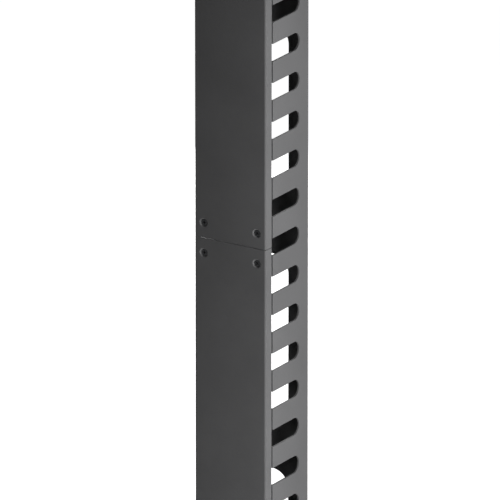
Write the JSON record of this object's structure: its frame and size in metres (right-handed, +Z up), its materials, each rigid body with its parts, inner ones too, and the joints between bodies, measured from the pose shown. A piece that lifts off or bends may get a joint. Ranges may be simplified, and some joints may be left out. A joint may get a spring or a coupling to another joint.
{
  "type": "vertical cable manager",
  "caption": "Vertical rack cable duct: folded steel channel with open side fingers and back cut-outs, closed by screwed lift-off covers.",
  "frame": {"origin": "middle of the channel's back face, at the centre of the rack fixing slots", "axes": "+Z up along the channel, +Y out of the back towards the rack, -Y to the front with the covers"},
  "size_m": [0.092, 0.0886, 1.0668],
  "materials": {
    "channel_powder_coat": "fine-textured dark grey powder coat, satin",
    "cover_powder_coat": "fine-textured dark grey powder coat, satin",
    "black_zinc_steel": "black zinc plate, semi-gloss",
    "zinc_plated_steel": "bright zinc plate",
    "natural_nylon": "natural nylon, matt"
  },
  "bodies": {
    "channel": {"channel": "channel_powder_coat", "lower_nut_seam_left": "zinc_plated_steel", "lower_nut_seam_right": "zinc_plated_steel", "lower_nut_end_left": "zinc_plated_steel", "lower_nut_end_right": "zinc_plated_steel", "upper_nut_seam_left": "zinc_plated_steel", "upper_nut_seam_right": "zinc_plated_steel", "upper_nut_end_left": "zinc_plated_steel", "upper_nut_end_right": "zinc_plated_steel"},
    "lower_cover": {"lower_cover": "cover_powder_coat", "lower_screw_seam_left": "black_zinc_steel", "lower_screw_seam_right": "black_zinc_steel", "lower_screw_end_left": "black_zinc_steel", "lower_screw_end_right": "black_zinc_steel", "lower_retainer_seam_left": "natural_nylon", "lower_retainer_seam_right": "natural_nylon", "lower_retainer_end_left": "natural_nylon", "lower_retainer_end_right": "natural_nylon"},
    "upper_cover": {"upper_cover": "cover_powder_coat", "upper_screw_seam_left": "black_zinc_steel", "upper_screw_seam_right": "black_zinc_steel", "upper_screw_end_left": "black_zinc_steel", "upper_screw_end_right": "black_zinc_steel", "upper_retainer_seam_left": "natural_nylon", "upper_retainer_seam_right": "natural_nylon", "upper_retainer_end_left": "natural_nylon", "upper_retainer_end_right": "natural_nylon"}
  },
  "joints": [
    {"name": "lower_cover_lift_off", "type": "slide", "parent": "channel", "child": "lower_cover", "axis": [0, -1, 0], "range_m": [0, 0.06]},
    {"name": "upper_cover_lift_off", "type": "slide", "parent": "channel", "child": "upper_cover", "axis": [0, -1, 0], "range_m": [0, 0.06]}
  ]
}
